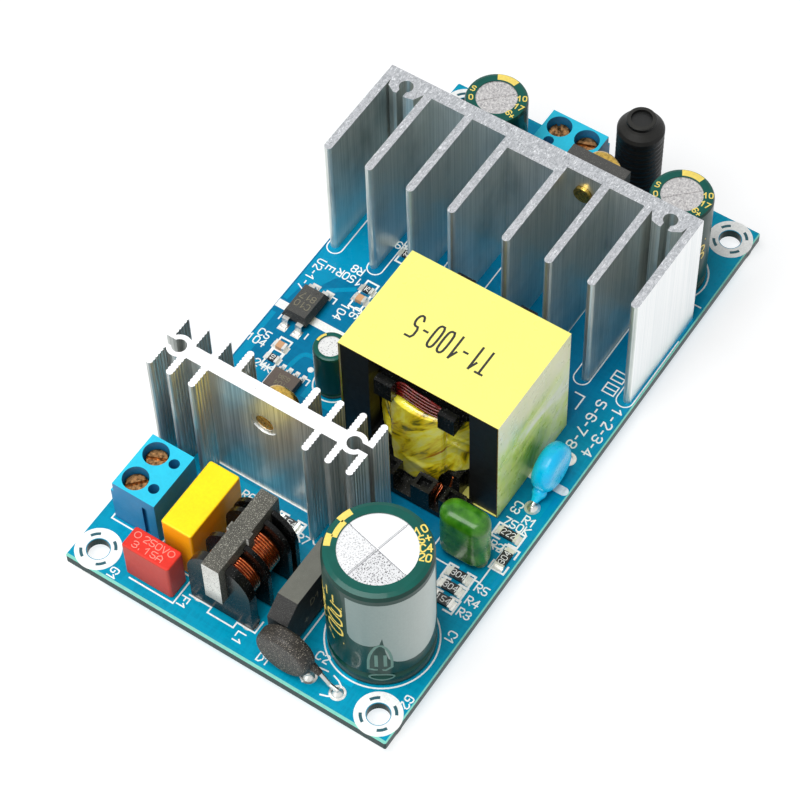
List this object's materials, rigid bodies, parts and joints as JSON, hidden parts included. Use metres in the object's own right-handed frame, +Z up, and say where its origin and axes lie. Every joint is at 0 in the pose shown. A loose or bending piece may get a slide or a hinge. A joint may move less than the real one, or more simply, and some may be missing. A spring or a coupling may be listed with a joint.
{
  "type": "open frame power supply",
  "caption": "Open frame mains power supply: an isolated flyback converter on a bare drilled circuit board, with finned heatsinks, taped transformer and screw terminals.",
  "frame": {"origin": "middle of the four mounting holes, on the underside of the circuit board", "axes": "+X along the board from the mains terminals to the output terminals, +Y across the board towards the mains terminal's wire side, +Z up out of the component side"},
  "size_m": [0.107, 0.057, 0.0288],
  "materials": {
    "board": "glossy cyan-blue solder mask over glass cloth laminate, pale laminate edge",
    "solder": "bright tin solder",
    "terminal_plastic": "cyan-blue moulded polyamide, fine satin",
    "terminal_screw": "copper-toned plated steel, tool marked",
    "plated_steel": "tin or nickel plated",
    "fuse_red": "red moulded case, satin",
    "box_yellow": "yellow moulded case filled with resin",
    "ferrite": "dark grey sintered ferrite, ground faces",
    "black_plastic": "black glossy moulded bobbin",
    "copper_wire": "enamelled copper",
    "epoxy_black": "dark grey moulded epoxy",
    "thermistor_coat": "grey-brown dipped coating",
    "can_aluminium": "pressed can, fine grain",
    "sleeve_green": "dark green shrink sleeve, glossy",
    "seal_rubber": "black rubber",
    "film_green": "green dipped epoxy, glossy",
    "disc_blue": "blue dipped epoxy, glossy",
    "tape_yellow": "pale yellow polyester tape",
    "sink_aluminium": "extruded aluminium, saw cut ends",
    "brass_screw": "yellow plated steel",
    "pad_grey": "grey silicone sheet",
    "shrink_black": "black shrink tube, glossy",
    "chip_black": "black glass overcoat",
    "chip_tan": "tan fired ceramic"
  },
  "bodies": {
    "board": {"circuit_board": "board", "solder_joints": "solder", "input_terminal_housing": "terminal_plastic", "output_terminal_housing": "terminal_plastic", "input_terminal_contacts": "plated_steel", "output_terminal_contacts": "plated_steel", "fuse_body": "fuse_red", "fuse_leads": "plated_steel", "box_capacitor_body": "box_yellow", "box_capacitor_leads": "plated_steel", "choke_core": "ferrite", "choke_bobbin": "black_plastic", "choke_windings": "copper_wire", "choke_pins": "plated_steel", "bridge_body": "epoxy_black", "bridge_leads": "plated_steel", "thermistor_disc": "thermistor_coat", "thermistor_leads": "plated_steel", "bulk_capacitor_can": "can_aluminium", "bulk_capacitor_sleeve": "sleeve_green", "small_capacitor_cans": "can_aluminium", "small_capacitor_sleeves": "sleeve_green", "capacitor_seals": "seal_rubber", "capacitor_leads": "plated_steel", "film_capacitor_body": "film_green", "film_capacitor_leads": "plated_steel", "disc_capacitor_body": "disc_blue", "disc_capacitor_leads": "plated_steel", "transformer_core": "ferrite", "transformer_bobbin": "black_plastic", "transformer_winding": "tape_yellow", "transformer_tape": "tape_yellow", "transformer_pins": "plated_steel", "primary_heatsink": "sink_aluminium", "secondary_heatsink": "sink_aluminium", "heatsink_pins": "plated_steel", "package_screws": "brass_screw", "insulating_pad": "pad_grey", "primary_transistor_body": "epoxy_black", "primary_transistor_leadframe": "plated_steel", "rectifier_body": "epoxy_black", "rectifier_leads": "plated_steel", "inductor_core": "ferrite", "inductor_winding": "copper_wire", "inductor_sleeve": "shrink_black", "optocoupler_body": "epoxy_black", "optocoupler_leads": "plated_steel", "controller_body": "epoxy_black", "controller_leads": "plated_steel", "chip_resistors": "chip_black", "chip_capacitors": "chip_tan", "chip_terminations": "solder"},
    "input_terminal_screw_1": {"input_terminal_screw_1": "terminal_screw"},
    "input_terminal_clamp_1": {"input_terminal_clamp_1": "plated_steel"},
    "input_terminal_screw_2": {"input_terminal_screw_2": "terminal_screw"},
    "input_terminal_clamp_2": {"input_terminal_clamp_2": "plated_steel"},
    "output_terminal_screw_1": {"output_terminal_screw_1": "terminal_screw"},
    "output_terminal_clamp_1": {"output_terminal_clamp_1": "plated_steel"},
    "output_terminal_screw_2": {"output_terminal_screw_2": "terminal_screw"},
    "output_terminal_clamp_2": {"output_terminal_clamp_2": "plated_steel"}
  },
  "joints": [
    {"name": "input_terminal_screw_1_turn", "type": "hinge", "parent": "board", "child": "input_terminal_screw_1", "pos_m": [-0.04154, 0.0232, 0.0086], "axis": [0, 0, -1], "range_deg": [0, 1152]},
    {"name": "input_terminal_clamp_1_lift", "type": "slide", "parent": "board", "child": "input_terminal_clamp_1", "axis": [0, 0, 1], "range_m": [0, 0.0016]},
    {"name": "input_terminal_screw_2_turn", "type": "hinge", "parent": "board", "child": "input_terminal_screw_2", "pos_m": [-0.03646, 0.0232, 0.0086], "axis": [0, 0, -1], "range_deg": [0, 1152]},
    {"name": "input_terminal_clamp_2_lift", "type": "slide", "parent": "board", "child": "input_terminal_clamp_2", "axis": [0, 0, 1], "range_m": [0, 0.0016]},
    {"name": "output_terminal_screw_1_turn", "type": "hinge", "parent": "board", "child": "output_terminal_screw_1", "pos_m": [0.0478, 0.00574, 0.0086], "axis": [0, 0, -1], "range_deg": [0, 1152]},
    {"name": "output_terminal_clamp_1_lift", "type": "slide", "parent": "board", "child": "output_terminal_clamp_1", "axis": [0, 0, 1], "range_m": [0, 0.0016]},
    {"name": "output_terminal_screw_2_turn", "type": "hinge", "parent": "board", "child": "output_terminal_screw_2", "pos_m": [0.0478, 0.00066, 0.0086], "axis": [0, 0, -1], "range_deg": [0, 1152]},
    {"name": "output_terminal_clamp_2_lift", "type": "slide", "parent": "board", "child": "output_terminal_clamp_2", "axis": [0, 0, 1], "range_m": [0, 0.0016]}
  ],
  "couplings": [
    {"joint": "input_terminal_screw_1_turn", "follows": "input_terminal_clamp_1_lift", "rad_per_m": 12566},
    {"joint": "input_terminal_screw_2_turn", "follows": "input_terminal_clamp_2_lift", "rad_per_m": 12566},
    {"joint": "output_terminal_screw_1_turn", "follows": "output_terminal_clamp_1_lift", "rad_per_m": 12566},
    {"joint": "output_terminal_screw_2_turn", "follows": "output_terminal_clamp_2_lift", "rad_per_m": 12566}
  ]
}
